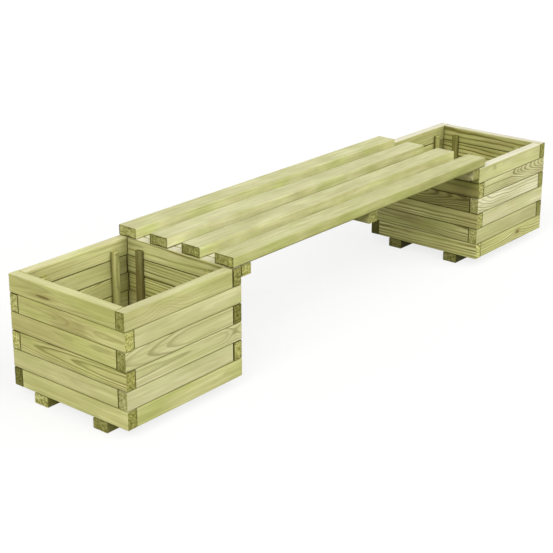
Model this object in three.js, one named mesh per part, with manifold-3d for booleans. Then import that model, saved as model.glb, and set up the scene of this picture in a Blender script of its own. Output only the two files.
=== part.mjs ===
// Garden bench with two square planters, in pressure-treated pine.
// Each planter is a stack of boards laid like a log cabin, and a slatted seat joins the two.
// +X runs along the bench from the left planter to the right one, -Y is the front and +Z is up.
// The origin lies on the ground under the middle of the bench. All lengths are in millimetres.

import * as THREE from 'three';
import { mergeVertices } from 'three/addons/utils/BufferGeometryUtils.js';
import Module from 'manifold-3d';

const wasm = await Module();
wasm.setup();

// Overall sizes
const benchLength = 2330;
const planterSide = 490;

// Wall boards, stacked on edge
const boardHeight = 60;
const boardThickness = 36;
const coursesPerWall = 6;

// Battens that the wall boards are screwed to from inside
const battenWidth = 28;
const battenThickness = 15;
const battenCornerGap = 48;
const battenTopDrop = 29;

// Runners under each planter, and the floor boards laid across them
const runnerWidth = 60;
const runnerHeight = 35;
const runnerInset = 87;
const floorBoardWidth = 70;
const floorBoardThickness = 18;
const floorBoardLeastGap = 8;

// Seat
const slatCount = 4;
const slatWidth = 77;
const slatThickness = 35;
const crossbarWidth = 46;
const crossbarHeight = 38;

// Timber edges and joints
const edgeRadius = 3;
const edgeRadiusMostShare = 0.3;
const arcSteps = 1;
const jointGap = 0.3;
const fuseDepth = 2;

// Heights, from the ground up
const wallBase = runnerHeight + jointGap;
const coursePitch = boardHeight + jointGap;
const rimHeight = wallBase + coursesPerWall * coursePitch - jointGap;
const floorTop = runnerHeight + floorBoardThickness;
const slatBase = rimHeight + jointGap;
const crossbarBase = slatBase - jointGap - crossbarHeight;

// Places in plan, from the middle of a planter or of the bench
const planterHalf = planterSide / 2;
const innerHalf = planterHalf - boardThickness - jointGap;
const planterCentre = (benchLength - planterSide) / 2;
const wallBoardLength = planterSide - boardThickness - jointGap;
const seatOpening = benchLength - 2 * planterSide;
const slatLength = seatOpening + 2 * boardThickness;

const COLOURS = {
  board: 0xc6c28f,
  lowBoard: 0xbab682,
  slat: 0xd0cc9f,
  crossbar: 0xa9a56f,
  floor: 0x8f8a5a,
};

function timberMaterial(colour) {
  return new THREE.MeshStandardMaterial({ color: colour, roughness: 0.8, metalness: 0 });
}

// A straight timber along +X from the origin, with its four long edges rounded
function timber(length, width, height) {
  const radius = Math.min(edgeRadius, edgeRadiusMostShare * Math.min(width, height));
  const section = new THREE.Shape();
  section.absarc(width - radius, radius, radius, -Math.PI / 2, 0);
  section.absarc(width - radius, height - radius, radius, 0, Math.PI / 2);
  section.absarc(radius, height - radius, radius, Math.PI / 2, Math.PI);
  section.absarc(radius, radius, radius, Math.PI, 1.5 * Math.PI);
  const geometry = new THREE.ExtrudeGeometry(section, {
    depth: length,
    bevelEnabled: false,
    curveSegments: arcSteps,
  });
  const widthAxis = new THREE.Vector3(0, 1, 0);
  const heightAxis = new THREE.Vector3(0, 0, 1);
  const lengthAxis = new THREE.Vector3(1, 0, 0);
  geometry.applyMatrix4(new THREE.Matrix4().makeBasis(widthAxis, heightAxis, lengthAxis));
  return geometry;
}

function block(lowCorner, size) {
  const geometry = new THREE.BoxGeometry(...size);
  geometry.translate(...size.map((span, axis) => lowCorner[axis] + span / 2));
  return geometry;
}

function toSolid(geometry) {
  geometry.deleteAttribute('normal');
  geometry.deleteAttribute('uv');
  const merged = mergeVertices(geometry);
  return new wasm.Manifold(new wasm.Mesh({
    numProp: 3,
    vertProperties: merged.attributes.position.array,
    triVerts: new Uint32Array(merged.index.array),
  }));
}

// Several overlapping or touching geometries joined into one closed solid
function joined(geometries) {
  const solid = geometries.map(toSolid).reduce((sum, next) => sum.add(next));
  const mesh = solid.getMesh();
  const geometry = new THREE.BufferGeometry();
  geometry.setAttribute('position', new THREE.BufferAttribute(mesh.vertProperties, 3));
  geometry.setIndex(new THREE.BufferAttribute(mesh.triVerts, 1));
  geometry.computeVertexNormals();
  return geometry;
}

function piece(name, geometry, colour, place = [0, 0, 0]) {
  const mesh = new THREE.Mesh(geometry, timberMaterial(colour));
  mesh.name = name;
  mesh.position.set(...place);
  return mesh;
}

// The lowest board of a wall with the two upright battens that stand against the wall's inner face.
// It is drawn in the wall's own frame, where the wall runs along X at the planter's -Y side.
function boardWithBattens(boardStart) {
  const board = timber(wallBoardLength, boardThickness, boardHeight);
  board.translate(boardStart, -planterHalf, wallBase);
  const battenBase = floorTop + jointGap;
  const battenLength = rimHeight - battenTopDrop - battenBase;
  const battenFace = -planterHalf + boardThickness + jointGap;
  const battenStart = planterHalf - boardThickness - battenCornerGap - battenWidth;
  const padHeight = Math.min(battenLength, wallBase + boardHeight - edgeRadius - battenBase);
  const shapes = [board];
  for (const lowX of [battenStart, -battenStart - battenWidth]) {
    shapes.push(block([lowX, battenFace, battenBase], [battenWidth, battenThickness, battenLength]));
    const padDepth = fuseDepth + jointGap + fuseDepth;
    shapes.push(block([lowX, battenFace - jointGap - fuseDepth, battenBase], [battenWidth, padDepth, padHeight]));
  }
  return joined(shapes);
}

// One wall of six boards. Odd boards, from the top, run out to the wall's -X corner and even boards
// to its +X corner, so that the boards of neighbouring walls interlock at every corner.
function wall(planterName, wallName, quarterTurns) {
  const group = new THREE.Group();
  group.rotation.z = quarterTurns * Math.PI / 2;
  for (let fromTop = 1; fromTop <= coursesPerWall; fromTop += 1) {
    const reachesLowCorner = fromTop % 2 === 1;
    const boardStart = reachesLowCorner ? -planterHalf : -planterHalf + boardThickness + jointGap;
    const name = `${planterName}_${wallName}_board_${fromTop}`;
    if (fromTop === coursesPerWall) {
      group.add(piece(`${name}_and_battens`, boardWithBattens(boardStart), COLOURS.lowBoard));
    } else {
      const baseHeight = wallBase + (coursesPerWall - fromTop) * coursePitch;
      const geometry = timber(wallBoardLength, boardThickness, boardHeight);
      group.add(piece(name, geometry, COLOURS.board, [boardStart, -planterHalf, baseHeight]));
    }
  }
  return group;
}

// The planter's floor boards, which run front to back, on two runners that run along the bench
function floorAndRunners(planterName) {
  const shapes = [];
  for (const lowY of [-planterHalf + runnerInset, planterHalf - runnerInset - runnerWidth]) {
    const runner = timber(planterSide, runnerWidth, runnerHeight);
    runner.translate(-planterHalf, lowY, 0);
    shapes.push(runner);
  }
  const innerSide = 2 * innerHalf;
  const boardCount = Math.floor((innerSide - floorBoardLeastGap) / (floorBoardWidth + floorBoardLeastGap));
  const boardGap = (innerSide - boardCount * floorBoardWidth) / (boardCount + 1);
  for (let index = 0; index < boardCount; index += 1) {
    const lowX = -innerHalf + boardGap + index * (floorBoardWidth + boardGap);
    shapes.push(block([lowX, -innerHalf, runnerHeight], [floorBoardWidth, innerSide, floorBoardThickness]));
  }
  return piece(`${planterName}_floor_and_runners`, joined(shapes), COLOURS.floor);
}

function planter(planterName, centreX) {
  const group = new THREE.Group();
  group.position.x = centreX;
  const wallNames = ['front', 'right', 'back', 'left'];
  wallNames.forEach((wallName, quarterTurns) => {
    group.add(wall(planterName, wallName, quarterTurns));
  });
  group.add(floorAndRunners(planterName));
  return group;
}

// Four slats that end over the planters' inner walls, on three crossbars that hold them together
function seat() {
  const group = new THREE.Group();
  const slatPitch = (planterSide - slatWidth) / (slatCount - 1);
  for (let index = 0; index < slatCount; index += 1) {
    const place = [-slatLength / 2, -planterHalf + index * slatPitch, slatBase];
    group.add(piece(`seat_slat_${index + 1}`, timber(slatLength, slatWidth, slatThickness), COLOURS.slat, place));
  }
  const endCentre = seatOpening / 2 - jointGap - crossbarWidth / 2;
  const crossbarCentres = { left: -endCentre, middle: 0, right: endCentre };
  for (const [side, centreX] of Object.entries(crossbarCentres)) {
    const bar = piece(`seat_crossbar_${side}`, timber(planterSide, crossbarWidth, crossbarHeight), COLOURS.crossbar);
    bar.rotation.z = Math.PI / 2;
    bar.position.set(centreX + crossbarWidth / 2, -planterHalf, crossbarBase);
    group.add(bar);
  }
  return group;
}

const bench = new THREE.Group();
bench.add(planter('left_planter', -planterCentre));
bench.add(planter('right_planter', planterCentre));
bench.add(seat());

export default bench;
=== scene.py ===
# Looks for the garden bench with two planters, in pressure-treated pine with a green tint.
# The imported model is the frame. Every timber of the real object is a piece of its own here, placed by the
# box of the CAD node that it stands for. Lengths are in metres. +X runs along the bench, -Y is the front.

import math
import random
from types import SimpleNamespace

import bpy
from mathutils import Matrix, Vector


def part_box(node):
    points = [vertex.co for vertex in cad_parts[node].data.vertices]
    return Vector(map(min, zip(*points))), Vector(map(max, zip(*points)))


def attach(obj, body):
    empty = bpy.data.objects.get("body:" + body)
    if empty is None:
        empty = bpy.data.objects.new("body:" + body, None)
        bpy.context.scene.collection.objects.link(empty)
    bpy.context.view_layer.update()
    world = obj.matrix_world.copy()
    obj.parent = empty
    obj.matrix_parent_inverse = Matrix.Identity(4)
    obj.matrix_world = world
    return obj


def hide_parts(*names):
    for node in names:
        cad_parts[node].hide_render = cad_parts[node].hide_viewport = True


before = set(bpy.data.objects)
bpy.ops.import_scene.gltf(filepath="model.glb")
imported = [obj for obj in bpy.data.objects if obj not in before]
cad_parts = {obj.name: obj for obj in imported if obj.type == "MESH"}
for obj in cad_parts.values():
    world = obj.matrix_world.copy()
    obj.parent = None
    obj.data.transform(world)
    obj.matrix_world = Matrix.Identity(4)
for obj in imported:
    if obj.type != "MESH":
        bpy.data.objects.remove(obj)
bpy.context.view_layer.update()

WHITE = (1.0, 1.0, 1.0)
X_AXIS = Vector((1, 0, 0))
Y_AXIS = Vector((0, 1, 0))
Z_AXIS = Vector((0, 0, 1))
MM = 0.001

# Camera, solved from the corners of the boards in the photograph. Angles are in degrees.
CAMERA_PLACE = (-3.5593, -2.785, 1.8265)
CAMERA_HEADING = 50.205
CAMERA_LEVEL = 90
CAMERA_TILT = -18.552
CAMERA_LENS = 88.69
CAMERA_SENSOR = 36
CAMERA_SHIFT_Y = -0.0995

# Light
SKY_STRENGTH = 0.33
SKY_COLOUR = WHITE
KEY_STRENGTH = 2.05
KEY_COLOUR = (1.0, 0.98, 0.9)
KEY_DIRECTION = (-0.72, -0.24, 0.66)
KEY_ANGLE = 40
FILL_STRENGTH = 1.9
FILL_COLOUR = WHITE
FILL_DIRECTION = (0.22, -0.75, 0.6)
FILL_ANGLE = 50
FLOOR_SIZE = 60
FLOOR_COLOUR = (0.95, 0.95, 0.95)
FLOOR_BOUNCE_COLOUR = (0.32, 0.31, 0.24)
FLOOR_GLOW_SHARE = 0.8

# Sizes as in the CAD source, for timbers that share a CAD node with a neighbour
JOINT_GAP = 0.3 * MM
WALL_BOARD_HEIGHT = 60 * MM
BOARD_THICKNESS = 36 * MM
BATTEN_WIDTH = 28 * MM
BATTEN_THICKNESS = 15 * MM
BATTEN_CORNER_GAP = 48 * MM
BATTEN_TOP_DROP = 29 * MM
CROSSBAR_WIDTH = 46 * MM
RUNNER_WIDTH = 60 * MM
RUNNER_HEIGHT = 35 * MM
RUNNER_INSET = 87 * MM
FLOOR_BOARD_WIDTH = 70 * MM
FLOOR_BOARD_THICKNESS = 18 * MM
FLOOR_BOARD_LEAST_GAP = 8 * MM
FLOOR_TOP = RUNNER_HEIGHT + FLOOR_BOARD_THICKNESS
SAME_PLACE = 0.001
COURSES = 6
SLATS = 4

# The outward direction of each wall, and the direction that it runs in
WALL_OUTWARD = {"front": -Y_AXIS, "right": X_AXIS, "back": Y_AXIS, "left": -X_AXIS}
WALL_ALONG = {"front": X_AXIS, "right": Y_AXIS, "back": X_AXIS, "left": Y_AXIS}

# A timber's shape. An end has three rows of points, which lie in from its arris by a share of the rim
END_ROWS = {"cap": 1, "rim": 0.5, "arris": 0}
EDGE_RADIUS_MOST_SHARE = 0.3
EDGE_STEPS = 5
EDGE_MARGIN = 0.004
FLAT_SHARES = (0.25, 0.5, 0.75, 1)
END_CHAMFER = 0.0008
STATION_PITCH = 0.05
LEAST_STATIONS = 2
SEAM_BLUR = 0.0004
SHARP_ANGLE = 40

# How far a timber stays inside its box
END_GAP_RANGE = (0.0002, 0.0008)
BUTT_GAP_RANGE = (0.0022, 0.0034)
TIGHT_BUTT_GAP = 0.0008
EDGE_GAP_RANGE = (0.0003, 0.0007)
FACE_GAP_RANGE = (0.0001, 0.0005)

# Painted shade towards corners and joints, and what sets ends and upper faces apart
CORNER_REACH = 0.07
TOP_BUTT_FADE = 0.85
END_CONTRAST_MOST = 1.2
INNER_EDGE_PALING = 8

# Screws
SCREW_RADIUS = 0.0036
SCREW_HEAD_RADIUS = 0.94 * SCREW_RADIUS
SCREW_RECESS = 0.0021
SCREW_DEPTH = 0.0009
SCREW_LIFT = SCREW_DEPTH / 6
SCREW_SIDES = 16
SCREW_ARMS = 4
SCREW_EDGE_SHARE = 0.25
SCREW_TOP_DROP = 3 * SCREW_RADIUS
SCREW_COLOUR = (0.5, 0.43, 0.2)
SCREW_DULL_COLOUR = tuple(0.7 * channel for channel in SCREW_COLOUR)
SCREW_DULL_SCALE = 400
SCREW_DULL_DETAIL = 3.0
SCREW_DULL_RANGE = (0.3, 0.7)
SCREW_ROUGHNESS = (0.38, 0.6)

# A screw head's rings: (reach between the arms of its cross recess, reach along them, height)
SCREW_RINGS = (
    (SCREW_RADIUS, SCREW_RADIUS, -SCREW_DEPTH),
    (SCREW_HEAD_RADIUS, SCREW_HEAD_RADIUS, SCREW_LIFT),
    (0.35 * SCREW_RECESS, SCREW_RECESS, SCREW_LIFT),
    (0.15 * SCREW_RECESS, 0.4 * SCREW_RECESS, -SCREW_DEPTH),
)

# Pine's linear colours
EARLY_COLOUR = (0.615, 0.6, 0.295)
LATE_COLOUR = (0.2, 0.175, 0.045)
BROWN_COLOUR = (0.36, 0.3, 0.12)
GREEN_COLOUR = (0.5, 0.53, 0.19)
KNOT_COLOUR = (0.2, 0.15, 0.045)
# Pale upper faces, in part painted sheen and light
PALE_COLOUR = (0.79, 0.76, 0.65)
# Painted shade: the colour that joints, end outlines, undersides, inner corners and batten sides darken
# towards
PAINTED_SHADE_COLOUR = (0.075, 0.062, 0.012)
END_COLOUR = (0.52, 0.51, 0.175)
SLAT_TINT = (0.9, 0.91, 0.95)
SLAT_RING_CONTRAST = 0.65

# Pine's noises: how often each changes per metre along, across and through the timber, and its detail
NOISE_MEAN = 0.5
SLOW_NOISE = ((1.3, 7, 7), 1.5)
QUICK_NOISE = ((9, 26, 26), 2.0)
STREAK_NOISE = ((4.5, 90, 90), 3.0)
THREAD_NOISE = ((6, 330, 330), 2.0)
FIBRE_NOISE = ((14, 900, 900), 2.0)
PATCH_NOISE = ((30, 130, 130), 2.0)
WALL_BLOTCHES = ((4, 13, 13), 3.0)
SLAT_BLOTCHES = ((8, 20, 20), 3.0)

# Rings: how they are spaced, where in a year the late wood lies, and how strong it is
RIPPLE_SHARE = 0.45
UNEVEN_PITCH = 0.45
UNEVEN_SHARE = 1.4
YEAR_PITCH = 0.8
YEAR_ROW = 4.0
PHASE_START = 100.0
LATE_RISE = (0.42, 0.86)
LATE_FALL = (0.9, 1.0, 1.0, 0.0)
LATE_BY_PLACE = (0.34, 0.58, 0.55, 1.0)
LATE_BY_YEAR = (0.35, 0.6, 0.4, 1.15)
LATE_BY_STREAK = (0.2, 0.7, 0.65, 1.15)

# Knots: how slim they are along and across the timber, how ragged, and where their core and halo end
KNOT_SLIMNESS = (5.0, 3.2, 0.0)
KNOT_RAGGEDNESS = 0.9
KNOT_CORE = (0.55, 1.0, 1.0, 0.0)
KNOT_HALO = (0.8, 2.6, 0.5, 0.0)

# Stains and levels: the least and most of the noise, and what they give
BROWN_PLACES = (0.38, 0.62)
GREEN_PLACES = (0.4, 0.66)
PALE_BY_STREAK = (0.2, 0.8, 0.6, 1.0)
BLOTCH_LEVEL = (0.3, 0.7, 0.89, 1.09)
STREAK_LEVEL = (0.25, 0.75, 0.88, 1.1)
THREAD_LEVEL = (0.25, 0.75, 0.93, 1.05)
FIBRE_LEVEL = (0.2, 0.8, 0.94, 1.04)
# Painted shade on the arrises, so that no bright line runs along the rounded edges
EDGE_LEVEL = (0.0, 1.0, 1.0, 0.86)
BLUE_POWER = 1.6
YELLOW_SHARE = -0.3
# How far the painted shade goes towards its colour
PAINTED_SHADE_SHARE = 0.9

# End grain: its checks, patches and rings
CHECK_TURNS = 18.0
CHECK_PITCH = 80.0
CHECK_DETAIL = 3.0
CHECK_RANGE = (0.3, 0.6)
CHECK_DARK = 0.4
CHECK_LIGHT = 0.12
PATCH_LEVEL = (0.32, 0.62, 0.62, 1.18)
END_RING_LEVEL = (0.0, 1.0, 1.16, 0.66)
END_STAIN = 0.6

# Pine's surface
PINE_SHINE = 0.35
FLOOR_SHINE = 0.1
RING_ROUGHNESS = (0.62, 0.52)
END_ROUGHNESS = 0.2
LATE_RELIEF = 0.55
FIBRE_RELIEF = 0.35
BUMP_STRENGTH = 0.35
BUMP_DISTANCE = 0.0004

# How pale the rims' upper faces are, with a painted sheen on the far planter's, and what sets the slats,
# crossbars and battens apart
RIM_PALENESS = {"left": 0.2, "right": 0.85}
# Slats: painted shade along their ends and where they lie on the walls, and painted light on their front
# faces
SLAT_FIGURE = dict(
    pale=0.1, painted_shade=1.0, rim=0.55, rim_width=0.007, rim_hold=0.9, lap_shade=1.8, lap_line=0.9,
    edge_radius=0.002, edge_gap=0.0001, face_gap=0.0001, green=0.3, face_green=1.5, face_yellow=0.35,
)
# Crossbars: painted shade under the slats on their ends
CROSSBAR_FIGURE = dict(top_line=0.9)
# Painted shade on the battens' sides, darkest by the wall
BATTEN_FIGURE = dict(painted_shade=0.75, side_fade=0.7)

# Where in the grain a timber starts, and how many are turned end for end
START_RANGE = (0, 50)
TURNED_SHARE = 0.5

# What each timber's figure is drawn from: (least, most). The pith lies pith_depth below and pith_across
# beside the timber's middle. Spacing is the rings', and wobble is how far they wander. The trunk tapers
# from its tip at tip_at. The rings bulge by swell at swell_at and swell_across, where the knot lies too.
FIGURE_RANGES = {
    "pith_depth": (-0.075, -0.035),
    "pith_across": (-0.03, 0.03),
    "taper": (0.002, 0.02),
    "tip_at": (0.0, 1.0),
    "spacing": (0.0025, 0.0045),
    "wobble": (0.004, 0.012),
    "contrast": (0.12, 0.42),
    "light": (0.97, 1.03),
    "brown": (0.0, 0.25),
    "green": (0.2, 0.6),
    "end_light": (0.62, 0.85),
    "yellow": (0.0, 0.5),
    "swell_at": (0.1, 0.9),
    "swell": (-0.004, 0.004),
    "swell_width": (0.05, 0.12),
    "swell_across": (-0.2, 0.2),
    "knot": (0, 0),
    "pale": (0, 0),
    # How strong the painted shade is
    "painted_shade": (0.6, 1.0),
}

# The rest of each timber's figure, alike on all but the special ones. Shift moves the figure along the
# timber, taper_reach is how far the trunk tapers, and squeeze is how slim knots are. Rim is painted shade
# along an end's outline, and rim_hold is how well it holds inwards. Butt is the painted shade beside a butt
# joint, corner that towards the planter's inner corners, lap_shade and lap_line that where the timber lies
# on another, top_line that under a slat, underside that along the lower edges, and side_fade how it fades
# on the sides. Face_light, face_green and face_yellow are painted light on a slat's front face, which they
# make lighter, greener and yellower, and fade is how that painted light falls off along the slat.
PLAIN_FIGURE = {
    "edge_radius": 0.003,
    "shift": 0.0,
    "side_fade": 0.0,
    "taper_reach": 5.0,
    "squeeze": 1.0,
    "rim": 0.12,
    "rim_width": 0.003,
    "rim_hold": 0.5,
    "butt": 0.0,
    "corner": 0.0,
    "lap_shade": 1.0,
    "lap_line": 0.0,
    "top_line": 0.0,
    "face_green": 0.0,
    "face_yellow": 0.0,
    "underside": 0.0,
    "face_light": 1.0,
    "fade": 0.0,
}

# What the boards of a wall share, including the painted shade at their joints and towards the inner corners
WALL_FIGURES = {
    "left_planter_left": dict(yellow=0.55, light=1.02, painted_shade=0.45),
    "left_planter_front": dict(painted_shade=0.38),
    "left_planter_back": dict(light=1.09, butt=0.9, corner=0.35, painted_shade=1.0),
    "left_planter_right": dict(brown=0.45, contrast=0.9, butt=0.9, corner=0.35, painted_shade=1.0, top_line=0.9),
    "right_planter_front": dict(painted_shade=0.56),
    # The far planter's left wall is darker under the seat: painted shadow of the seat
    "right_planter_left": dict(light=0.88, brown=0.5, contrast=0.9, taper=0.006),
    "right_planter_right": dict(
        light=0.92, brown=0.4, contrast=0.9, taper=0.02, spacing=0.008, butt=0.8, corner=0.3,
    ),
    "right_planter_back": dict(light=0.94, contrast=0.6, butt=0.8, corner=0.3),
}

# Timbers whose figure stands out. Places along a timber are shares of its length, from its low end.
SPECIAL_FIGURES = {
    "left_planter_left_board_1": dict(
        contrast=0.4, swell_at=0.66, swell_across=-0.3, swell=0.003, swell_width=0.18, squeeze=2.0,
        knot=0.9, gap_low=0.0008,
    ),
    "left_planter_left_board_2": dict(
        brown=0.55, green=0.8, contrast=0.5, taper=0.01, pith_depth=-0.03, light=1.09, gap_high=0.0012,
        shift=0.12, pith_across=0.0, swell_at=0.4, swell=0.004, wobble=0.006,
    ),
    "left_planter_left_board_3": dict(contrast=0.4, brown=0.3, light=1.08, gap_low=0.003, painted_shade=0.65),
    "left_planter_left_board_4": dict(
        pith_depth=-0.015, pith_across=0.006, turned=True, tip_at=0.91, taper=0.022, taper_reach=0.28,
        spacing=0.004, contrast=1.3, wobble=0.006, light=1.07, painted_shade=0.8, gap_high=0.0012,
    ),
    "left_planter_left_board_5": dict(contrast=0.15, light=1.12, yellow=0.25, gap_low=0.003),
    "left_planter_left_board_6": dict(contrast=0.2, light=1.16, yellow=0.4, end_light=0.47),
    "left_planter_front_board_1": dict(
        contrast=0.4, swell_at=0.36, swell=0.012, swell_width=0.05, swell_across=-0.3, green=0.6,
        yellow=0.2, end_light=0.58, light=0.97, gap_high=0.004,
    ),
    "left_planter_front_board_2": dict(contrast=0.1, light=1.03, yellow=-0.1, gap_low=0.0012),
    "left_planter_front_board_3": dict(
        pith_depth=-0.028, pith_across=0.0, turned=False, tip_at=0.161, taper=0.075, taper_reach=0.16,
        spacing=0.0062, contrast=1.0, wobble=0.004, swell=0.0, end_light=0.56, yellow=-0.15, light=1.1,
    ),
    "left_planter_front_board_4": dict(
        pith_depth=-0.012, pith_across=0.008, turned=True, tip_at=0.6, taper=0.01, spacing=0.0045,
        wobble=0.006, contrast=1.0, swell_at=0.93, swell=0.007, swell_width=0.035, swell_across=0.1,
        knot=0.25, yellow=-0.2, light=1.1, gap_low=0.0013,
    ),
    "left_planter_front_board_5": dict(
        contrast=0.1, light=1.04, yellow=-0.35, green=0.3, end_light=0.82, gap_high=0.0045,
    ),
    "left_planter_front_board_6": dict(contrast=0.25, green=0.8, yellow=0.2, light=1.0),
    "left_planter_back_board_1": dict(contrast=0.5, brown=0.3, green=0.7, gap_low=0.0006, light=1.14),
    "left_planter_back_board_2": dict(light=1.04, contrast=0.2, end_light=0.97, gap_high=0.003),
    "left_planter_back_board_3": dict(
        pith_depth=-0.01, taper=0.05, contrast=1.3, tip_at=0.8, turned=True, wobble=0.012,
    ),
    "left_planter_back_board_4": dict(contrast=0.8, end_light=1.0),
    "left_planter_back_board_6": dict(end_light=0.31),
    # Pale and light lift this board's top between the slats: painted light
    "left_planter_right_board_1": dict(
        contrast=1.2, brown=0.2, green=0.6, spacing=0.006, pith_depth=-0.055, end_light=0.55, pale=0.8,
        light=1.1,
    ),
    "left_planter_right_board_2": dict(
        contrast=2.6, brown=0.3, spacing=0.012, taper=0.012, pith_depth=-0.01, pith_across=0.06,
        wobble=0.012, light=1.04,
    ),
    "left_planter_right_board_3": dict(
        contrast=2.2, brown=0.4, spacing=0.01, pith_depth=-0.01, pith_across=0.06, wobble=0.008,
        end_light=0.37, light=0.96,
    ),
    "left_planter_right_board_5": dict(end_light=0.77),
    "left_planter_right_batten_high": dict(light=0.46, brown=0.9, contrast=0.8, green=0.1, yellow=-0.8),
    # Stronger painted shade on this batten's sides
    "left_planter_back_batten_high": dict(light=0.92, contrast=0.8, painted_shade=1.3),
    # The runners' low light is painted shade from the planter above them, and their end light makes up for
    # it on the ends
    "left_planter_runner_front": dict(end_light=1.45, light=0.43, yellow=-0.4),
    "left_planter_runner_back": dict(end_light=2.1, light=0.43),
    "right_planter_runner_front": dict(light=0.17, brown=0.3, end_light=2.9, yellow=-1.2),
    "right_planter_runner_back": dict(light=0.17, brown=0.3, end_light=2.8, yellow=-1.2),
    "right_planter_front_board_1": dict(
        contrast=0.2, light=1.06, yellow=0.0, swell_at=0.24, swell_across=0.35, swell=0.003,
        swell_width=0.045, knot=0.35,
    ),
    "right_planter_front_board_2": dict(
        pith_depth=-0.01, pith_across=0.02, turned=False, tip_at=0.75, taper=0.15, taper_reach=0.13,
        spacing=0.0045, contrast=2.6, wobble=0.006, brown=0.4, yellow=-0.2, light=1.12,
    ),
    "right_planter_front_board_3": dict(
        pith_depth=-0.04, pith_across=0.035, turned=False, tip_at=0.13, taper=0.15, taper_reach=0.06,
        spacing=0.0055, contrast=1.0, wobble=0.008, light=1.24, brown=0.0, green=0.1, yellow=-0.5,
    ),
    "right_planter_front_board_4": dict(contrast=0.3, light=1.08, yellow=-0.3, green=0.6),
    "right_planter_front_board_5": dict(contrast=0.5, light=0.9, yellow=-0.2),
    "right_planter_front_board_6": dict(
        contrast=2.0, light=0.99, swell_at=0.6, swell=0.014, swell_width=0.08, knot=1.0, taper=0.003,
        spacing=0.007, wobble=0.006, yellow=0.3, swell_across=0.1, pith_depth=-0.015, pith_across=0.05,
    ),
    "right_planter_left_board_1": dict(light=1.03),
    # Boards 2 and 3 take painted shadow of the seat in their light
    "right_planter_left_board_2": dict(
        light=0.68, spacing=0.01, contrast=2.2, end_light=1.45, wobble=0.014, green=0.6,
    ),
    "right_planter_left_board_3": dict(
        light=0.6, brown=0.4, contrast=2.6, pith_across=0.02, pith_depth=-0.01, turned=False,
        tip_at=0.25, taper=0.12, taper_reach=0.08, spacing=0.005,
    ),
    "right_planter_left_board_4": dict(
        light=0.96, contrast=2.4, spacing=0.012, taper=0.004, pith_depth=-0.02, pith_across=0.04,
        wobble=0.016, end_light=0.85,
    ),
    "right_planter_left_board_5": dict(
        light=0.91, contrast=2.0, spacing=0.008, wobble=0.018, pith_across=0.04, taper=0.015, green=0.6,
        end_light=0.9,
    ),
    "right_planter_left_board_6": dict(
        light=1.17, contrast=5.0, spacing=0.012, taper=0.003, pith_depth=-0.02, pith_across=0.05,
        wobble=0.008, yellow=0.3, end_light=0.94,
    ),
    "right_planter_back_board_1": dict(light=0.9),
    # Painted shadow of the seat on this board's end
    "right_planter_back_board_6": dict(end_light=0.2),
    "right_planter_right_board_1": dict(
        contrast=2.4, wobble=0.03, end_light=0.6, spacing=0.018, pith_across=0.03, pith_depth=-0.03,
    ),
    "right_planter_right_board_2": dict(
        contrast=1.5, pith_across=0.04, pith_depth=-0.02, spacing=0.016, wobble=0.02,
    ),
    "right_planter_right_board_3": dict(end_light=0.6),
    "right_planter_right_board_5": dict(end_light=0.6),
    # Stronger painted shade on the sides of these two battens
    "right_planter_right_batten_high": dict(light=0.58, brown=0.8, contrast=1.6, painted_shade=1.3),
    "right_planter_back_batten_high": dict(light=0.85, contrast=1.2, painted_shade=1.3),
    # Pale is painted light on the crossbar's top between the slats
    "crossbar_left": dict(yellow=0.4, end_light=0.82, pale=0.8, face_gap=0.0012, painted_shade=1.0),
    "crossbar_middle": dict(
        light=0.78, end_light=0.8, spacing=0.006, pith_depth=-0.06, pith_across=0.02, yellow=-0.2,
    ),
    "crossbar_right": dict(end_light=0.56, face_gap=0.0012, painted_shade=1.0, yellow=-0.3),
    # The slats' face_light and fade are painted light on their front faces, and underside is painted shade
    # along the lower edges of slats 3 and 1
    "slat_4": dict(yellow=0.1, end_light=0.86, light=1.02, face_light=1.24, fade=0.08),
    "slat_3": dict(
        yellow=0.0, end_light=0.62, light=1.05, face_light=1.19, fade=0.21, underside=0.85,
        swell_at=0.45, swell_across=-1.0, swell=0.002, swell_width=0.09, knot=0.06,
    ),
    "slat_2": dict(
        yellow=0.1, end_light=0.59, light=1.01, face_light=1.25, fade=0.11, swell_at=0.52,
        swell_across=-1.0, swell=0.002, swell_width=0.09, knot=0.06,
    ),
    "slat_1": dict(yellow=0.2, end_light=0.76, light=0.97, face_light=0.94, fade=0.18, underside=0.7),
}


def figure_of(name, changes):
    """One timber's grain figure: drawn with its name as the seed, then changed where it is special."""
    draw = random.Random(name)
    figure = dict(PLAIN_FIGURE)
    figure.update({key: draw.uniform(least, most) for key, (least, most) in FIGURE_RANGES.items()})
    figure["start"] = draw.uniform(*START_RANGE)
    figure["turned"] = draw.random() < TURNED_SHARE
    figure.update(changes)
    figure.update(SPECIAL_FIGURES.get(name, {}))
    return figure


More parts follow.
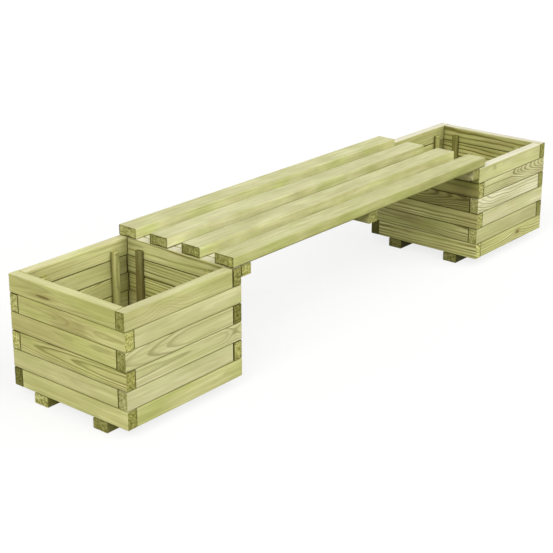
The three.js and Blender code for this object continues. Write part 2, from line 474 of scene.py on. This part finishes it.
def section_points(width, height, edge_radius):
    """The timber's cross-section, anticlockwise. Each point is (across, depth, edge, lean across, lean
    outward). Edge is 1 in the middle of a rounded edge and 0 on the flats, where the arris takes painted
    shade, and the leans are the parts of the surface's outward normal."""
    radius = min(edge_radius, EDGE_RADIUS_MOST_SHARE * min(width, height))
    margin = radius + EDGE_MARGIN
    points = []
    for turn in range(4):
        angle = turn * math.pi / 2
        side, rise = (width, height) if turn % 2 == 0 else (height, width)
        corner = Vector((side / 2, rise / 2))
        local = []
        for share in FLAT_SHARES:
            local.append((corner.x, -corner.y + margin + share * (rise - 2 * margin), 0))
        for step in range(EDGE_STEPS + 1):
            bend = step / EDGE_STEPS * math.pi / 2
            from_corner = radius * Vector((math.cos(bend) - 1, math.sin(bend) - 1))
            local.append((corner.x + from_corner.x, corner.y + from_corner.y, bend))
        local.append((corner.x - margin, corner.y, math.pi / 2))
        for across, depth, bend in local:
            turned_across = across * math.cos(angle) - depth * math.sin(angle)
            turned_depth = across * math.sin(angle) + depth * math.cos(angle)
            lean = (math.cos(angle + bend), math.sin(angle + bend))
            points.append((turned_across, turned_depth, math.sin(2 * bend), *lean))
    return points


def stations(length, laps):
    """The (place, kind of row) of each cross-section along a timber. A lap is where the part that a
    neighbour covers begins."""
    count = max(LEAST_STATIONS, round(length / STATION_PITCH))
    inner = [EDGE_MARGIN + (length - 2 * EDGE_MARGIN) * index / count for index in range(count + 1)]
    inner += [lap + side for lap in laps for side in (-SEAM_BLUR, SEAM_BLUR)]
    body = [(place, "body") for place in (END_CHAMFER, *sorted(inner), length - END_CHAMFER)]
    low_end = [(0, kind) for kind in END_ROWS]
    high_end = [(length, kind) for kind in reversed(END_ROWS)]
    return low_end + body + high_end


def strip_faces(base, rows, around):
    """The faces between rows of points that run round a timber or a screw head."""
    faces = []
    for row in range(rows - 1):
        first = base + row * around
        second = first + around
        for index in range(around):
            following = (index + 1) % around
            faces.append((first + index, first + following, second + following, second + index))
    return faces


class Timber:
    """A timber that fills a box: long edges rounded, ends cut square with a fine chamfer, slightly bowed.
    Its grain coordinates run through the solid timber. The sides and ends in shut lie against a neighbour,
    where the colour takes painted shade. At a lap a neighbour covers the last part of the inner face."""

    def __init__(self, name, box, along, outward, figure, shut, lap_length):
        low, high = box
        self.name = name
        self.along = along
        self.outward = outward
        self.across = outward.cross(along)
        if self.across.z < 0:
            self.across = -self.across
        self.figure = figure
        self.shut = shut
        self.centre = (low + high) / 2
        axes = (along, self.across, outward)
        self.length, self.width, self.height = (abs((high - low).dot(axis)) for axis in axes)
        self.vertices = []
        self.carried = {}
        draw = random.Random(name + "_shape")
        low_range = BUTT_GAP_RANGE if "low" in shut else END_GAP_RANGE
        high_range = BUTT_GAP_RANGE if "high" in shut else END_GAP_RANGE
        gap_low = figure.get("gap_low", draw.uniform(*low_range))
        gap_high = figure.get("gap_high", draw.uniform(*high_range))
        edge_gap = figure.get("edge_gap", draw.uniform(*EDGE_GAP_RANGE))
        face_gap = figure.get("face_gap", draw.uniform(*FACE_GAP_RANGE))
        self.bow = draw.uniform(-edge_gap, edge_gap)
        self.start = gap_low
        self.cut_length = self.length - gap_low - gap_high
        sides = (self.width - 2 * edge_gap, self.height - 2 * face_gap)
        self.section = section_points(*sides, figure["edge_radius"])
        self.low_lap = 0
        self.high_lap = self.cut_length
        if "low lap" in shut:
            self.low_lap = lap_length - gap_low
        if "high lap" in shut:
            self.high_lap = self.cut_length - lap_length + gap_high

    def row(self, place, kind):
        """What all the points of one cross-section share."""
        figure = self.figure
        from_low = place if "low" in self.shut else self.cut_length
        from_high = self.cut_length - place if "high" in self.shut else self.cut_length
        from_butt = min(from_low, from_high)
        from_corner = min(place - self.low_lap, self.high_lap - place)
        in_lap = not self.low_lap <= place <= self.high_lap
        inset = 0
        if kind != "body":
            inset = END_CHAMFER + END_ROWS[kind] * figure["rim_width"]
        return SimpleNamespace(
            kind=kind,
            place=place + self.start,
            bend=self.bow * math.sin(math.pi * place / self.cut_length),
            inset=inset,
            in_lap=in_lap,
            butt=1 if from_butt == 0 else figure["butt"] * max(0, 1 - from_butt / EDGE_MARGIN),
            below=figure["lap_shade"] if "back" in self.shut or in_lap else 0,
            hold={"cap": 0, "rim": figure["rim_hold"]}.get(kind, 1),
            corner=figure["corner"] * max(0, 1 - from_corner / CORNER_REACH),
            # Painted light on a slat's front face, and its fall-off along the slat
            painted_front_light=figure["face_light"] - 1 + figure["fade"] * (1 - 2 * place / self.cut_length),
        )

    def painted_shade_at(self, row, depth, lean_across, lean_outward, upward):
        """How dark painted shade makes a point: beside a neighbour, at edges and ends, under slats and
        towards corners.
        """
        figure = self.figure
        side_shade = 1 - figure["side_fade"] * (depth / self.height + 0.5)
        covered = (
            side_shade * lean_across if "top" in self.shut else 0,
            -side_shade * lean_across if "bottom" in self.shut else 0,
            lean_outward if "face" in self.shut else 0,
            -lean_outward * row.below,
        )
        edge_shade = min(1, max(0, *covered) ** 2)
        rim_shade = 0
        if row.kind != "body":
            rim_shade = max(figure["rim"], figure["top_line"] * max(0, upward))
        lower_edge = figure["edge_radius"] - self.height / 2
        line_below = 0
        if depth < lower_edge + EDGE_MARGIN / 2:
            line_below = figure["underside"] * abs(lean_across)
        if row.in_lap and depth < lower_edge:
            line_below = max(line_below, figure["lap_line"])
        inner_shade = row.corner * max(0, -lean_outward)
        here = row.hold * max(edge_shade, rim_shade, line_below, inner_shade)
        beside_butt = row.butt * (1 - TOP_BUTT_FADE * max(0, upward))
        return figure["painted_shade"] * max(here, beside_butt)

    def add_point(self, row, section_point):
        """One vertex with all that the pine material reads there."""
        figure = self.figure
        section_across, section_depth, edge, lean_across, lean_outward = section_point
        shrink = 1 - row.inset / math.hypot(section_across, section_depth)
        across = section_across * shrink + row.bend
        depth = section_depth * shrink
        place = row.place
        from_middle = self.along * (place - self.length / 2)
        self.vertices.append(self.centre + from_middle + self.across * across + self.outward * depth)

        direction = -1 if figure["turned"] else 1
        grain_place = figure["start"] + direction * (place - figure["shift"])
        from_tip = place - figure["tip_at"] * self.length
        from_tip = max(-figure["taper_reach"], min(figure["taper_reach"], from_tip))
        face_from_pith = self.height / 2 - figure["pith_depth"]
        swell_along = (place - figure["swell_at"] * self.length) / figure["swell_width"]
        swell_across = across / max(self.width, self.height) * 2 - figure["swell_across"]
        # A slat's front face takes painted light: lighter, greener and yellower
        front = max(0, -lean_across)
        level = figure["light"] * (1 + front * row.painted_front_light)
        green = figure["green"] * (1 + front * figure["face_green"])
        yellow = figure["yellow"] + front * figure["face_yellow"]
        upward = lean_across * self.across.z + lean_outward * self.outward.z
        # Upper faces are paler, in part from painted sheen; on an inner edge only the top of the rounding
        paling = max(0, upward) ** (INNER_EDGE_PALING if lean_outward < 0 else 1)
        pale = figure["pale"] * paling
        contrast = figure["contrast"]
        if row.kind != "body":
            pale = 0
            contrast = min(contrast, END_CONTRAST_MOST)
        carried = {
            "grain": (grain_place, across - figure["pith_across"], depth - figure["pith_depth"]),
            "trunk": face_from_pith + direction * from_tip * figure["taper"],
            "swell": (swell_along, figure["squeeze"] * swell_across, figure["swell"]),
            "tone": (level, figure["brown"], contrast),
            "rings": (figure["spacing"], figure["wobble"], green),
            "marks": (figure["knot"], figure["end_light"], yellow),
            "pale": pale,
            # Painted shade on the arrises
            "painted_edge_shade": 1 if row.kind == "arris" else edge,
            "painted_shade": self.painted_shade_at(row, section_depth, lean_across, lean_outward, upward),
        }
        for name, value in carried.items():
            self.carried.setdefault(name, []).append(value)

    def mesh(self):
        laps = [lap for lap in (self.low_lap, self.high_lap) if 0 < lap < self.cut_length]
        rows = stations(self.cut_length, laps)
        for place, kind in rows:
            row = self.row(place, kind)
            for section_point in self.section:
                self.add_point(row, section_point)
        around = len(self.section)
        first_cap = tuple(reversed(range(around)))
        last_cap = tuple(range((len(rows) - 1) * around, len(rows) * around))
        mesh = bpy.data.meshes.new(self.name)
        mesh.from_pydata(self.vertices, [], strip_faces(0, len(rows), around) + [first_cap, last_cap])
        if self.along.cross(self.across).dot(self.outward) < 0:
            mesh.flip_normals()
        for name, values in self.carried.items():
            store(mesh, name, values, "POINT")
        end_faces = (len(END_ROWS) - 1) * around
        body_faces = (len(rows) - 1) * around - 2 * end_faces
        end_cut = [1] * end_faces + [0] * body_faces + [1] * end_faces + [1, 1]
        store(mesh, "end_cut", end_cut, "FACE")
        mesh.shade_smooth()
        mesh.set_sharp_from_angle(angle=math.radians(SHARP_ANGLE))
        return mesh


def store(mesh, name, values, domain):
    """Numbers or vectors that the pine material reads from the mesh."""
    if isinstance(values[0], tuple):
        attribute = mesh.attributes.new(name, "FLOAT_VECTOR", domain)
        attribute.data.foreach_set("vector", [part for value in values for part in value])
    else:
        attribute = mesh.attributes.new(name, "FLOAT", domain)
        attribute.data.foreach_set("value", [float(value) for value in values])


def add_piece(name, mesh, material, nodes):
    piece = bpy.data.objects.new(name, mesh)
    bpy.context.scene.collection.objects.link(piece)
    mesh.materials.append(material)
    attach(piece, "root")
    if nodes:
        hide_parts(*nodes)


def add_timber(name, box, along, outward, material, node, slot, shut=(), lap=BOARD_THICKNESS, **changes):
    timber = Timber(name, box, along, outward, figure_of(name, changes), shut, lap)
    add_piece(name, timber.mesh(), material, [node])


class Nodes:
    """Short calls for the shader nodes of a material or the world."""

    def __init__(self, owner):
        self.owner = owner
        owner.use_nodes = True
        self.tree = owner.node_tree
        self.tree.nodes.clear()

    def add(self, kind, **settings):
        node = self.tree.nodes.new(kind)
        for key, value in settings.items():
            setattr(node, key, value)
        return node

    def feed(self, socket, value):
        if isinstance(value, bpy.types.NodeSocket):
            self.tree.links.new(value, socket)
        else:
            socket.default_value = value

    def feed_all(self, node, *values):
        for socket, value in zip(node.inputs, values):
            self.feed(socket, value)
        return node.outputs

    def math(self, operation, *values, clamp=False):
        node = self.add("ShaderNodeMath", operation=operation, use_clamp=clamp)
        return self.feed_all(node, *values)[0]

    def product(self, first, *others):
        for value in others:
            first = self.math("MULTIPLY", first, value)
        return first

    def centred(self, value):
        return self.math("SUBTRACT", value, NOISE_MEAN)

    def vector(self, operation, *values):
        node = self.add("ShaderNodeVectorMath", operation=operation)
        outputs = self.feed_all(node, *values)
        return outputs["Value"] if operation == "LENGTH" else outputs["Vector"]

    def attribute(self, name):
        return self.add("ShaderNodeAttribute", attribute_type="GEOMETRY", attribute_name=name)

    def parts(self, vector):
        return tuple(self.feed_all(self.add("ShaderNodeSeparateXYZ"), vector))

    def combine(self, x, y, z):
        return self.feed_all(self.add("ShaderNodeCombineXYZ"), x, y, z)[0]

    def noise(self, vector, scale=1.0, detail=0.0):
        node = self.add("ShaderNodeTexNoise", noise_dimensions="3D")
        self.feed(node.inputs["Vector"], vector)
        node.inputs["Scale"].default_value = scale
        node.inputs["Detail"].default_value = detail
        return node.outputs

    def range(self, value, low, high, to_low=0.0, to_high=1.0, smooth=True):
        kind = "SMOOTHSTEP" if smooth else "LINEAR"
        node = self.add("ShaderNodeMapRange", interpolation_type=kind)
        return self.feed_all(node, value, low, high, to_low, to_high)[0]

    def mix(self, share, first, second, blend="MIX"):
        node = self.add("ShaderNodeMix", data_type="RGBA", blend_type=blend)
        self.feed(node.inputs["Factor"], share)
        colours = [socket for socket in node.inputs if socket.type == "RGBA"]
        for socket, value in zip(colours, (first, second)):
            self.feed(socket, (*value, 1) if isinstance(value, tuple) else value)
        return next(socket for socket in node.outputs if socket.type == "RGBA")

    def mix_shaders(self, share, first, second):
        return self.feed_all(self.add("ShaderNodeMixShader"), share, first, second)[0]

    def glow(self, kind, colour, strength):
        return self.feed_all(self.add(kind), (*colour, 1), strength)[0]

    def seen(self):
        """1 for rays from the camera, a reflection or glass, and 0 for rays that light the object."""
        path = self.add("ShaderNodeLightPath").outputs
        direct = self.math("MAXIMUM", path["Is Camera Ray"], path["Is Glossy Ray"])
        return self.math("MAXIMUM", direct, path["Is Transmission Ray"])

    def finish(self, surface, kind="ShaderNodeOutputMaterial"):
        self.feed(self.add(kind).inputs["Surface"], surface)
        return self.owner


class Pine(Nodes):
    """Solid treated pine, from what each timber's mesh carries: rings about the pith of the log that it was
    sawn from, knots, fibres, stain from the treatment and darker end grain. Painted shade darkens the
    arrises, joints, end outlines, undersides and inner corners, and upper faces are paler, in part from
    painted sheen."""

    def __init__(self, name, contrast=1.0, blotches=WALL_BLOTCHES):
        super().__init__(bpy.data.materials.new(name))
        self.contrast = contrast
        self.grain = self.attribute("grain").outputs["Vector"]
        self.light, self.brown, self.figure_contrast = self.three("tone")
        self.spacing, self.wobble, self.green = self.three("rings")
        self.knot, self.end_light, self.yellow = self.three("marks")
        self.end_cut = self.attribute("end_cut").outputs["Fac"]
        self.streak = self.grain_noise(*STREAK_NOISE)["Fac"]
        self.fibre = self.grain_noise(*FIBRE_NOISE)["Fac"]
        self.blotch_parts = self.parts(self.grain_noise(*blotches)["Color"])
        self.add_rings()

    def three(self, name):
        return self.parts(self.attribute(name).outputs["Vector"])

    def grain_noise(self, stretch, detail):
        return self.noise(self.vector("MULTIPLY", self.grain, stretch), detail=detail)

    def add_rings(self):
        """The late wood of the rings. The trunk wanders and the rings with it, and they bulge where a
        branch left the trunk."""
        across, depth = self.parts(self.grain)[1:]
        wander_across, wander_depth, place_strength = self.parts(self.grain_noise(*SLOW_NOISE)["Color"])
        self.across = self.math("MULTIPLY_ADD", self.centred(wander_across), self.wobble, across)
        self.depth = self.math("MULTIPLY_ADD", self.centred(wander_depth), self.wobble, depth)
        self.ripple = self.centred(self.grain_noise(*QUICK_NOISE)["Fac"])
        radius = self.vector("LENGTH", self.combine(self.across, self.depth, 0.0))
        radius = self.math("SUBTRACT", radius, self.attribute("trunk").outputs["Fac"])
        ripple_reach = self.product(self.wobble, RIPPLE_SHARE)
        radius = self.math("MULTIPLY_ADD", self.ripple, ripple_reach, radius)
        self.swell_along, self.swell_across, swell = self.three("swell")
        squares = [self.math("POWER", part, 2.0) for part in (self.swell_along, self.swell_across)]
        bulge = self.math("EXPONENT", self.product(self.math("ADD", *squares), -1.0))
        self.radius = self.math("MULTIPLY_ADD", bulge, swell, radius)

        phase = self.math("DIVIDE", self.radius, self.spacing)
        uneven = self.noise(self.combine(self.product(phase, UNEVEN_PITCH), 0.0, 0.0))["Fac"]
        phase = self.math("MULTIPLY_ADD", self.centred(uneven), UNEVEN_SHARE, phase)
        year = self.noise(self.combine(self.product(phase, YEAR_PITCH), YEAR_ROW, 0.0))["Fac"]
        share = self.math("FRACT", self.math("ADD", phase, PHASE_START))
        self.late = self.product(
            self.range(share, *LATE_RISE),
            self.range(share, *LATE_FALL),
            self.range(place_strength, *LATE_BY_PLACE),
            self.range(year, *LATE_BY_YEAR),
        )

    def wood_colour(self):
        """Rings, stains and knots, and the treatment's stain on the ends."""
        green_places, brown_places = self.blotch_parts[1:]
        late = self.product(self.late, self.product(self.figure_contrast, self.contrast))
        late = self.math("MULTIPLY", late, self.range(self.streak, *LATE_BY_STREAK), clamp=True)
        colour = self.mix(late, EARLY_COLOUR, LATE_COLOUR)
        brown = self.math("MULTIPLY", self.brown, self.range(brown_places, *BROWN_PLACES), clamp=True)
        colour = self.mix(brown, colour, BROWN_COLOUR)
        green = self.product(self.green, self.range(green_places, *GREEN_PLACES))
        colour = self.mix(green, colour, GREEN_COLOUR)

        from_knot = self.combine(self.swell_along, self.swell_across, 0.0)
        from_knot = self.vector("LENGTH", self.vector("MULTIPLY", from_knot, KNOT_SLIMNESS))
        from_knot = self.math("MULTIPLY_ADD", self.ripple, KNOT_RAGGEDNESS, from_knot)
        halo = self.product(self.range(from_knot, *KNOT_HALO), self.knot)
        colour = self.mix(halo, colour, BROWN_COLOUR)
        core = self.product(self.range(from_knot, *KNOT_CORE), self.knot)
        colour = self.mix(core, colour, KNOT_COLOUR)
        return self.mix(self.product(self.end_cut, END_STAIN), colour, END_COLOUR)

    def level_colour(self):
        """Light and dark: blotches, streaks and fibres, each timber's own tone with the painted light and
        shade that some timbers carry in it, painted shade on the arrises, and ends.
        """
        level = self.product(
            self.range(self.blotch_parts[0], *BLOTCH_LEVEL),
            self.range(self.streak, *STREAK_LEVEL),
            self.range(self.grain_noise(*THREAD_NOISE)["Fac"], *THREAD_LEVEL),
            self.range(self.fibre, *FIBRE_LEVEL),
            self.light,
            self.range(self.attribute("painted_edge_shade").outputs["Fac"], *EDGE_LEVEL),
            self.math("MULTIPLY_ADD", self.end_cut, self.math("SUBTRACT", self.end_level(), 1.0), 1.0),
        )
        yellowing = self.math("MULTIPLY_ADD", self.yellow, YELLOW_SHARE, 1.0)
        blue = self.product(self.math("POWER", level, BLUE_POWER), yellowing)
        return self.combine(level, level, blue)

    def end_level(self):
        """End grain drinks more of the treatment: darker, with patches and fine checks across the rings."""
        turn = self.product(self.math("ARCTAN2", self.across, self.depth), CHECK_TURNS)
        place = self.combine(turn, self.product(self.radius, CHECK_PITCH), self.light)
        check = self.noise(place, detail=CHECK_DETAIL)["Fac"]
        least = 1 - CHECK_DARK * self.contrast
        most = 1 + CHECK_LIGHT * self.contrast
        return self.product(
            self.end_light,
            self.range(check, *CHECK_RANGE, least, most),
            self.range(self.grain_noise(*PATCH_NOISE)["Fac"], *PATCH_LEVEL),
            self.range(self.late, *END_RING_LEVEL),
        )

    def material(self, tint=WHITE, shine=PINE_SHINE):
        colour = self.mix(1.0, self.wood_colour(), self.level_colour(), "MULTIPLY")
        colour = self.mix(1.0, colour, tint, "MULTIPLY")
        # Paler upper faces, in part painted sheen and light
        pale = self.product(self.attribute("pale").outputs["Fac"], self.range(self.streak, *PALE_BY_STREAK))
        colour = self.mix(pale, colour, PALE_COLOUR)
        # Painted shade in joints, along end outlines, under slats and towards inner corners; it also takes
        # the shine away
        painted_shade = self.attribute("painted_shade").outputs["Fac"]
        colour = self.mix(self.product(painted_shade, PAINTED_SHADE_SHARE), colour, PAINTED_SHADE_COLOUR)
        roughness = self.range(self.late, 0.0, 1.0, *RING_ROUGHNESS, smooth=False)
        roughness = self.math("MULTIPLY_ADD", self.end_cut, END_ROUGHNESS, roughness)
        fibre_relief = self.product(self.fibre, FIBRE_RELIEF)
        bump = self.add("ShaderNodeBump")
        bump.inputs["Strength"].default_value = BUMP_STRENGTH
        bump.inputs["Distance"].default_value = BUMP_DISTANCE
        self.feed(bump.inputs["Height"], self.math("MULTIPLY_ADD", self.late, LATE_RELIEF, fibre_relief))
        shader = self.add("ShaderNodeBsdfPrincipled")
        self.feed(shader.inputs["Specular IOR Level"], self.range(painted_shade, 0.0, 1.0, shine, 0.0))
        self.feed(shader.inputs["Base Color"], colour)
        self.feed(shader.inputs["Roughness"], roughness)
        self.feed(shader.inputs["Normal"], bump.outputs["Normal"])
        return self.finish(shader.outputs[0])


def steel():
    """Zinc-plated screw heads, slightly dulled."""
    n = Nodes(bpy.data.materials.new("screw_steel"))
    place = n.add("ShaderNodeTexCoord").outputs["Object"]
    dull = n.noise(place, SCREW_DULL_SCALE, SCREW_DULL_DETAIL)["Fac"]
    shader = n.add("ShaderNodeBsdfPrincipled")
    shader.inputs["Metallic"].default_value = 1.0
    colour = n.mix(n.range(dull, *SCREW_DULL_RANGE), SCREW_DULL_COLOUR, SCREW_COLOUR)
    n.feed(shader.inputs["Base Color"], colour)
    n.feed(shader.inputs["Roughness"], n.range(dull, *SCREW_DULL_RANGE, *SCREW_ROUGHNESS))
    return n.finish(shader.outputs[0])


def wall_board_box(planter, wall, course):
    """The wall board's node and its own box, less the battens that share the lowest board's node."""
    suffix = "_and_battens" if course == COURSES else ""
    node = f"{planter}_planter_{wall}_board_{course}{suffix}"
    low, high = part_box(node)
    outward = WALL_OUTWARD[wall]
    high.z = low.z + WALL_BOARD_HEIGHT
    for axis in range(2):
        if outward[axis] > 0:
            low[axis] = high[axis] - BOARD_THICKNESS
        if outward[axis] < 0:
            high[axis] = low[axis] + BOARD_THICKNESS
    return node, low, high


def add_wall(planter, wall, centre_x, planter_half, material):
    outward = WALL_OUTWARD[wall]
    along = WALL_ALONG[wall]
    reach = along.x * centre_x
    for course in range(1, COURSES + 1):
        node, low, high = wall_board_box(planter, wall, course)
        shut = ["top"] if course > 1 else []
        if course < COURSES:
            shut.append("bottom")
        butts_low = low.dot(along) > reach - planter_half + SAME_PLACE
        butts_high = high.dot(along) < reach + planter_half - SAME_PLACE
        shut.append("low" if butts_low else "low lap")
        shut.append("high" if butts_high else "high lap")
        changes = dict(WALL_FIGURES.get(f"{planter}_planter_{wall}", {}))
        changes["pale"] = RIM_PALENESS[planter] if course == 1 else 0
        if course == COURSES or (course == 1 and wall in ("right", "back")):
            changes["gap_low" if butts_low else "gap_high"] = TIGHT_BUTT_GAP
        name = f"{planter}_planter_{wall}_board_{course}"
        add_timber(name, (low, high), along, outward, material, node, "wall_pine", shut, **changes)


def add_battens(planter, wall, centre_x, planter_half, material):
    outward = WALL_OUTWARD[wall]
    along = WALL_ALONG[wall]
    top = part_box(f"{planter}_planter_{wall}_board_1")[1].z - BATTEN_TOP_DROP
    node = f"{planter}_planter_{wall}_board_{COURSES}_and_battens"
    from_centre = planter_half - BOARD_THICKNESS - BATTEN_CORNER_GAP - BATTEN_WIDTH / 2
    outer_reach = planter_half - BOARD_THICKNESS - JOINT_GAP
    half = along * (BATTEN_WIDTH / 2) + outward * (BATTEN_THICKNESS / 2)
    half = Vector((abs(half.x), abs(half.y), 0))
    screws = []
    for side, sign in (("low", -1), ("high", 1)):
        middle = Vector((centre_x, 0, 0)) + along * (sign * from_centre)
        middle += outward * (outer_reach - BATTEN_THICKNESS / 2)
        low = middle - half
        high = middle + half
        low.z = FLOOR_TOP + JOINT_GAP
        high.z = top
        add_timber(
            f"{planter}_planter_{wall}_batten_{side}", (low, high), Z_AXIS, -outward, material, node,
            "wall_pine", ("top", "bottom"), **BATTEN_FIGURE,
        )
        for course in range(1, COURSES + 1):
            board_low, board_high = wall_board_box(planter, wall, course)[1:]
            place = middle - outward * (BATTEN_THICKNESS / 2)
            place.z = min((board_low.z + board_high.z) / 2, top - SCREW_TOP_DROP)
            screws.append((place, -outward))
    return screws


def add_floor(planter, centre_x, planter_half, material):
    node = f"{planter}_planter_floor_and_runners"
    from_centre = planter_half - RUNNER_INSET - RUNNER_WIDTH / 2
    for side, sign in (("front", -1), ("back", 1)):
        middle = sign * from_centre
        low = Vector((centre_x - planter_half, middle - RUNNER_WIDTH / 2, 0))
        high = Vector((centre_x + planter_half, middle + RUNNER_WIDTH / 2, RUNNER_HEIGHT))
        name = f"{planter}_planter_runner_{side}"
        add_timber(name, (low, high), X_AXIS, -Y_AXIS, material, node, "floor_pine")
    inner_half = planter_half - BOARD_THICKNESS - JOINT_GAP
    inner_side = 2 * inner_half
    least_pitch = FLOOR_BOARD_WIDTH + FLOOR_BOARD_LEAST_GAP
    count = math.floor((inner_side - FLOOR_BOARD_LEAST_GAP) / least_pitch)
    gap = (inner_side - count * FLOOR_BOARD_WIDTH) / (count + 1)
    screws = []
    for index in range(count):
        low_x = centre_x - inner_half + gap + index * (FLOOR_BOARD_WIDTH + gap)
        low = Vector((low_x, -inner_half, RUNNER_HEIGHT))
        high = Vector((low_x + FLOOR_BOARD_WIDTH, inner_half, FLOOR_TOP))
        name = f"{planter}_planter_floor_board_{index + 1}"
        add_timber(name, (low, high), Y_AXIS, Z_AXIS, material, node, "floor_pine")
        for sign_y in (-1, 1):
            for sign_x in (-1, 1):
                x = low_x + FLOOR_BOARD_WIDTH * (0.5 + sign_x * SCREW_EDGE_SHARE)
                screws.append((Vector((x, sign_y * from_centre, high.z)), Z_AXIS))
    return screws


def add_seat(slat_material, crossbar_material):
    slat_boxes = []
    for index in range(1, SLATS + 1):
        node = f"seat_slat_{index}"
        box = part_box(node)
        slat_boxes.append(box)
        add_timber(
            f"slat_{index}", box, X_AXIS, Z_AXIS, slat_material, node, "slat_pine",
            ("low lap", "high lap"), BOARD_THICKNESS + CROSSBAR_WIDTH, **SLAT_FIGURE,
        )
    screws = []
    for side, shut in (("left", ["face"]), ("middle", []), ("right", ["back"])):
        node = f"seat_crossbar_{side}"
        low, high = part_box(node)
        add_timber(
            f"crossbar_{side}", (low, high), Y_AXIS, -X_AXIS, crossbar_material, node, "crossbar_pine",
            shut, **CROSSBAR_FIGURE,
        )
        for slat_low, slat_high in slat_boxes:
            for sign in (-1, 1):
                middle = (slat_low.y + slat_high.y) / 2
                y = middle + sign * SCREW_EDGE_SHARE * (slat_high.y - slat_low.y)
                screws.append((Vector(((low.x + high.x) / 2, y, low.z)), -Z_AXIS))
    return screws


def add_screws(name, screws, material):
    """Countersunk heads with a cross recess, flush with the wood, all joined in one mesh."""
    vertices = []
    faces = []
    for place, outward in screws:
        side = outward.orthogonal().normalized()
        other = outward.cross(side)
        faces += strip_faces(len(vertices), len(SCREW_RINGS), SCREW_SIDES)
        for waist_reach, arm_reach, rise in SCREW_RINGS:
            for step in range(SCREW_SIDES):
                angle = 2 * math.pi * step / SCREW_SIDES
                lobe = 0.5 + 0.5 * math.cos(SCREW_ARMS * angle)
                reach = waist_reach + (arm_reach - waist_reach) * lobe
                offset = side * math.cos(angle) + other * math.sin(angle)
                vertices.append(place + offset * reach + outward * rise)
        faces.append(tuple(range(len(vertices) - SCREW_SIDES, len(vertices))))
    mesh = bpy.data.meshes.new(name)
    mesh.from_pydata(vertices, [], faces)
    mesh.shade_smooth()
    mesh.set_sharp_from_angle(angle=math.radians(SHARP_ANGLE))
    add_piece(name, mesh, material, [])


def add_bench():
    wall_pine = Pine("wall_pine").material()
    slat_pine = Pine("slat_pine", SLAT_RING_CONTRAST, SLAT_BLOTCHES).material(tint=SLAT_TINT)
    crossbar_pine = Pine("crossbar_pine").material()
    floor_pine = Pine("floor_pine").material(shine=FLOOR_SHINE)
    screw_steel = steel()
    for planter in ("left", "right"):
        low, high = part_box(f"{planter}_planter_floor_and_runners")
        centre_x = (low.x + high.x) / 2
        planter_half = (high.x - low.x) / 2
        screws = []
        for wall in WALL_OUTWARD:
            add_wall(planter, wall, centre_x, planter_half, wall_pine)
            screws += add_battens(planter, wall, centre_x, planter_half, wall_pine)
        screws += add_floor(planter, centre_x, planter_half, floor_pine)
        add_screws(f"{planter}_planter_screws", screws, screw_steel)
    add_screws("seat_screws", add_seat(slat_pine, crossbar_pine), screw_steel)


def add_floor_stage():
    """A white floor that keeps a faint shadow and can be seen through from below."""
    n = Nodes(bpy.data.materials.new("stage_floor"))
    seen = n.seen()
    diffuse = n.add("ShaderNodeBsdfDiffuse")
    n.feed(diffuse.inputs["Color"], n.mix(seen, FLOOR_BOUNCE_COLOUR, FLOOR_COLOUR))
    glow = n.glow("ShaderNodeEmission", WHITE, 1.0)
    lit = n.mix_shaders(n.math("MULTIPLY", seen, FLOOR_GLOW_SHARE), diffuse.outputs[0], glow)
    clear = n.add("ShaderNodeBsdfTransparent").outputs[0]
    from_below = n.add("ShaderNodeNewGeometry").outputs["Backfacing"]
    half = FLOOR_SIZE / 2
    corners = [(-half, -half, 0), (half, -half, 0), (half, half, 0), (-half, half, 0)]
    mesh = bpy.data.meshes.new("stage_floor")
    mesh.from_pydata(corners, [], [(0, 1, 2, 3)])
    mesh.materials.append(n.finish(n.mix_shaders(from_below, lit, clear)))
    floor = bpy.data.objects.new("stage_floor", mesh)
    bpy.context.scene.collection.objects.link(floor)


def set_world():
    """A surround that is seen as white and lights the bench as a weaker sky."""
    world = bpy.data.worlds.new("studio")
    bpy.context.scene.world = world
    n = Nodes(world)
    sky = n.glow("ShaderNodeBackground", SKY_COLOUR, SKY_STRENGTH)
    white = n.glow("ShaderNodeBackground", WHITE, 1.0)
    n.finish(n.mix_shaders(n.seen(), sky, white), "ShaderNodeOutputWorld")


def add_light(name, strength, colour, direction, angle):
    data = bpy.data.lights.new(name, "SUN")
    data.energy = strength
    data.color = colour
    data.angle = math.radians(angle)
    light = bpy.data.objects.new(name, data)
    light.rotation_euler = Vector(direction).to_track_quat("Z", "Y").to_euler()
    bpy.context.scene.collection.objects.link(light)


def add_camera():
    data = bpy.data.cameras.new("camera")
    data.lens = CAMERA_LENS
    data.sensor_width = CAMERA_SENSOR
    data.shift_y = CAMERA_SHIFT_Y
    camera = bpy.data.objects.new("camera", data)
    camera.location = CAMERA_PLACE
    pitch = math.radians(CAMERA_LEVEL + CAMERA_TILT)
    camera.rotation_euler = (pitch, 0, -math.radians(CAMERA_HEADING))
    bpy.context.scene.collection.objects.link(camera)
    bpy.context.scene.camera = camera


add_camera()
set_world()
add_light("key", KEY_STRENGTH, KEY_COLOUR, KEY_DIRECTION, KEY_ANGLE)
add_light("fill", FILL_STRENGTH, FILL_COLOUR, FILL_DIRECTION, FILL_ANGLE)
add_floor_stage()
add_bench()
bpy.context.scene.view_settings.view_transform = "Standard"
